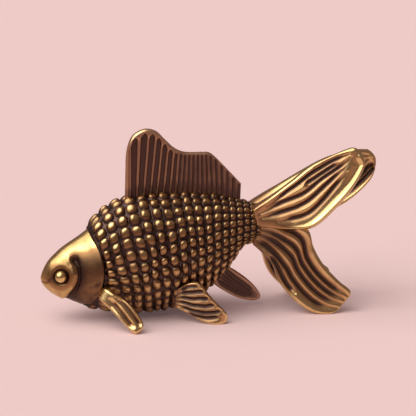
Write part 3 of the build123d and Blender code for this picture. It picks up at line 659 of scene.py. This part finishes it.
# Tail fins: two brass fins side by side, each forked into an upper and a lower lobe, with a tenon in the
# end of the trunk. Deep grooves flow from the stalk to the ends of the lobes, and a thick roll runs along
# the fork; ridges and rims are rubbed bright.
TAIL_LEFT_TOP = [(-1.6, 1.2, 3.0), (2.1, 1.9, 5.5), (4.4, 2.2, 7.2), (7.3, 2.5, 9.4), (11.4, 2.9, 11.2),
                 (13.7, 3.2, 12.0), (15.0, 3.3, 11.9)]
TAIL_LEFT_FORK = [(-1.0, 1.2, 0.2), (4.6, 2.8, -0.3), (7.9, 3.3, 0.2), (11.3, 3.6, 3.2), (13.6, 3.6, 5.9),
                  (15.3, 3.5, 8.9), (15.6, 3.4, 10.9)]
TAIL_RIGHT_TOP = [(-1.6, 1.2, 3.0), (2.6, 1.9, 5.0), (6.1, 2.3, 6.8), (10.6, 2.7, 8.9), (14.6, 3.0, 9.9),
                  (17.6, 3.2, 9.9), (19.1, 3.3, 9.0)]
TAIL_RIGHT_FORK = [(-1.0, 1.2, 0.2), (4.6, 2.8, -0.3), (8.6, 3.3, -0.2), (12.6, 3.5, 0.9),
                   (15.6, 3.6, 2.5), (18.3, 3.6, 5.0), (19.25, 3.5, 7.2)]
TAIL_LOWER_FRONT = [(-1.2, 1.2, 0.81), (1.1, 2.9, 0.61), (2.0, 3.6, 0.42), (3.0, 4.2, 0.28),
                    (5.0, 5.0, 0.11), (7.1, 5.6, 0.01), (9.3, 5.9, -0.015), (10.7, 5.9, 0.03)]
TAIL_LOWER_FORK = [(-1.0, 1.2, 1.05), (3.2, 2.4, 1.04), (6.6, 3.2, 0.99), (7.5, 3.6, 0.78),
                   (8.8, 4.3, 0.58), (11.0, 5.2, 0.38), (12.6, 5.7, 0.27), (12.7, 5.8, 0.19)]
UPPER_GROOVES = [
    [(0.1, 0.2), (0.24, 0.12), (0.42, 0.13), (0.53, 0.14), (0.62, 0.12), (0.74, 0.15)],
    [(0.4, 0.21), (0.47, 0.25), (0.55, 0.25), (0.64, 0.22)],
    [(0.06, 0.34), (0.16, 0.28), (0.28, 0.3), (0.4, 0.35), (0.52, 0.35), (0.63, 0.33), (0.74, 0.26)],
    [(0.06, 0.52), (0.16, 0.49), (0.28, 0.49), (0.42, 0.51), (0.55, 0.48), (0.68, 0.38)],
    [(0.12, 0.7), (0.22, 0.69), (0.34, 0.7), (0.46, 0.68), (0.55, 0.63), (0.66, 0.54)],
]
RIGHT_TIP_GROOVES = [
    [(0.42, 0.8), (0.56, 0.83), (0.7, 0.82), (0.84, 0.76), (0.95, 0.66)],
    [(0.56, 0.68), (0.68, 0.66), (0.8, 0.6), (0.93, 0.46)],
]
LOWER_GROOVES = [
    [(0.11, 0.13), (0.2, 0.11), (0.32, 0.11), (0.42, 0.11), (0.5, 0.12)],
    [(0.04, 0.4), (0.09, 0.3), (0.2, 0.25), (0.36, 0.27), (0.5, 0.27), (0.68, 0.26), (0.88, 0.3)],
    [(0.04, 0.66), (0.12, 0.53), (0.22, 0.47), (0.36, 0.46), (0.5, 0.46), (0.7, 0.46), (0.93, 0.5)],
    [(0.04, 0.85), (0.14, 0.69), (0.28, 0.62), (0.42, 0.61), (0.55, 0.62), (0.72, 0.63), (0.92, 0.68)],
    [(0.1, 0.94), (0.18, 0.88), (0.28, 0.81), (0.4, 0.77), (0.54, 0.77), (0.7, 0.79), (0.88, 0.83)],
]
TAIL_THICKNESS = (2.4, 1.15)
LEFT_REACH = 0.9  # share of its edges that the left upper lobe fills; the grooves are set out along that lobe
upper_lobes = {
    "left": (TAIL_LEFT_TOP, TAIL_LEFT_FORK, LEFT_REACH),
    "right": (TAIL_RIGHT_TOP, TAIL_RIGHT_FORK, 1.0),
}


def tail_edge(hand, stops):
    return [tail_root + np.array([run, hand * outside, above]) for run, outside, above in stops]


for side_name, hand in hands.items():
    top_stops, fork_stops, lobe_reach = upper_lobes[side_name]
    upper_grooves = [[(run * lobe_reach / LEFT_REACH, across) for run, across in stops]
                     for stops in UPPER_GROOVES]
    if side_name == "right":
        upper_grooves += RIGHT_TIP_GROOVES
    sheet, half, groove, from_edge, place, over = fin_plate(
        tail_edge(hand, top_stops), tail_edge(hand, fork_stops), size=(240, 170), thickness=TAIL_THICKNESS,
        grooves=upper_grooves, groove_width=0.34, depth=0.4, reach=lobe_reach, corner=0.16, soft=0.7)
    band = hump(over - 0.05, 0.06) * ease(place, 0.58 * lobe_reach, 0.54 * lobe_reach)
    rolled_rim = ease(over + 0.8 * place / lobe_reach, 0.95, 1.25)
    roll = hump(from_edge - 0.62, 0.42) * rolled_rim
    inside_roll = hump(from_edge - 1.6, 0.45) * rolled_rim
    half = half + (0.16 * band + 0.36 * roll - 0.1 * inside_roll) * rounded(from_edge, 0.7)
    past_root = 0.6 + 0.4 * ease(place, 0.05, 0.25)
    upper = (sheet, half, (1.0 - groove + 0.2 * band + 0.15 * roll) * past_root)
    sheet, half, groove, _, place, _ = fin_plate(
        floor_edge(tail_root, hand, TAIL_LOWER_FRONT), floor_edge(tail_root, hand, TAIL_LOWER_FORK),
        size=(240, 170), thickness=TAIL_THICKNESS, grooves=LOWER_GROOVES, groove_width=0.34, depth=0.4,
        reach=1.0, corner=0.09, soft=0.6)
    lower = (sheet, half, (1.0 - groove) * (0.6 + 0.4 * ease(place, 0.05, 0.25)))
    add_floor_fin(f"{side_name}_grooved_tail_fin", f"{side_name}_tail_fin", [upper, lower])

# Studio: a sheet of pale pink paper to stand on under one large soft light from the upper left, in a dim room
# that takes its colour from the paper. The eye sees the paper evenly pale, while the brass mirrors the dim
# room beyond it: past a few centimetres the paper is painted darker for every ray but the camera's, a painted
# shade that stands in for the dim room.
FLOOR_HALF = 3.0
LIT_PAPER = (0.03, 0.065)  # metres from the middle between which the mirrored paper dims
PAPER_GLOW = 0.08
ROOM_LIGHT = 0.24
LIGHT_COURSE = Vector((0.55, 0.12, -0.82))
LIGHTS = (("broad_soft_light", 2.15, 80), ("window_light", 0.55, 30))  # name, strength and width in degrees
paper = bpy.data.materials.new("pale_pink_paper")
paper.use_nodes = True
tree = paper.node_tree
shader = tree.nodes["Principled BSDF"]
shader.inputs["Roughness"].default_value = 0.9
shader.inputs["Specular IOR Level"].default_value = 0
seen = add_node(tree, "ShaderNodeLightPath", {}).outputs["Is Camera Ray"]
spread = add_node(tree, "ShaderNodeTexCoord", {}).outputs["Object"]
distance = add_node(tree, "ShaderNodeVectorMath", {0: spread}, operation="LENGTH").outputs["Value"]
# Painted shade: the paper's colour drops to a dim tone past LIT_PAPER for mirrored and bounced rays.
painted_shade_fade = add_node(tree, "ShaderNodeMapRange", {0: distance, 1: LIT_PAPER[0], 2: LIT_PAPER[1], 3: 1, 4: 0})
painted_paper_light = add_node(tree, "ShaderNodeMath", {0: painted_shade_fade.outputs[0], 1: seen}, operation="MAXIMUM")
tone = add_node(tree, "ShaderNodeMix", {0: painted_paper_light.outputs[0], 6: linear("A08280"), 7: linear("F0D6D6")},
                data_type="RGBA")
glow = add_node(tree, "ShaderNodeMath", {0: seen, 1: PAPER_GLOW}, operation="MULTIPLY")
tree.links.new(tone.outputs[2], shader.inputs["Base Color"])
shader.inputs["Emission Color"].default_value = linear("F2D2D3")
tree.links.new(glow.outputs[0], shader.inputs["Emission Strength"])
floor_mesh = bpy.data.meshes.new("paper_floor")
floor_corners = [(x * FLOOR_HALF, y * FLOOR_HALF, 0) for x, y in ((-1, -1), (1, -1), (1, 1), (-1, 1))]
floor_mesh.from_pydata(floor_corners, [], [(0, 1, 2, 3)])
floor_mesh.materials.append(paper)
floor = bpy.data.objects.new("paper_floor", floor_mesh)
bpy.context.scene.collection.objects.link(floor)

world = bpy.data.worlds.new("dim_room")
world.use_nodes = True
room = world.node_tree.nodes["Background"]
room.inputs["Color"].default_value = linear("E8C6C4")
room.inputs["Strength"].default_value = ROOM_LIGHT
bpy.context.scene.world = world

for lamp_name, energy, spread_angle in LIGHTS:
    lamp = bpy.data.lights.new(lamp_name, "SUN")
    lamp.energy = energy
    lamp.angle = math.radians(spread_angle)
    lamp.color = linear("FFFAF4")[:3]
    lamp_object = bpy.data.objects.new(lamp_name, lamp)
    lamp_object.rotation_euler = LIGHT_COURSE.to_track_quat("-Z", "Y").to_euler()
    bpy.context.scene.collection.objects.link(lamp_object)

# Camera: a product view from the fish's left, a little to the front and from above.
VIEW_DISTANCE = 330
VIEW_TURN = math.radians(-13)
VIEW_LIFT = math.radians(15)
VIEW_AIM = np.array([-0.84, 0, 15.75])
PIXELS_PER_MM = 6.74
PICTURE_PIXELS = 416
level = math.cos(VIEW_LIFT)
away = np.array([math.sin(VIEW_TURN) * level, -math.cos(VIEW_TURN) * level, math.sin(VIEW_LIFT)])
camera_data = bpy.data.cameras.new("product_camera")
camera_data.sensor_width = 36
camera_data.lens = camera_data.sensor_width * PIXELS_PER_MM * VIEW_DISTANCE / PICTURE_PIXELS
camera_data.clip_start = 0.01
camera = bpy.data.objects.new("product_camera", camera_data)
camera.location = (VIEW_AIM + away * VIEW_DISTANCE) * MM
camera.rotation_euler = Vector(-away).to_track_quat("-Z", "Y").to_euler()
bpy.context.scene.collection.objects.link(camera)
bpy.context.scene.camera = camera
bpy.context.scene.view_settings.view_transform = "Standard"
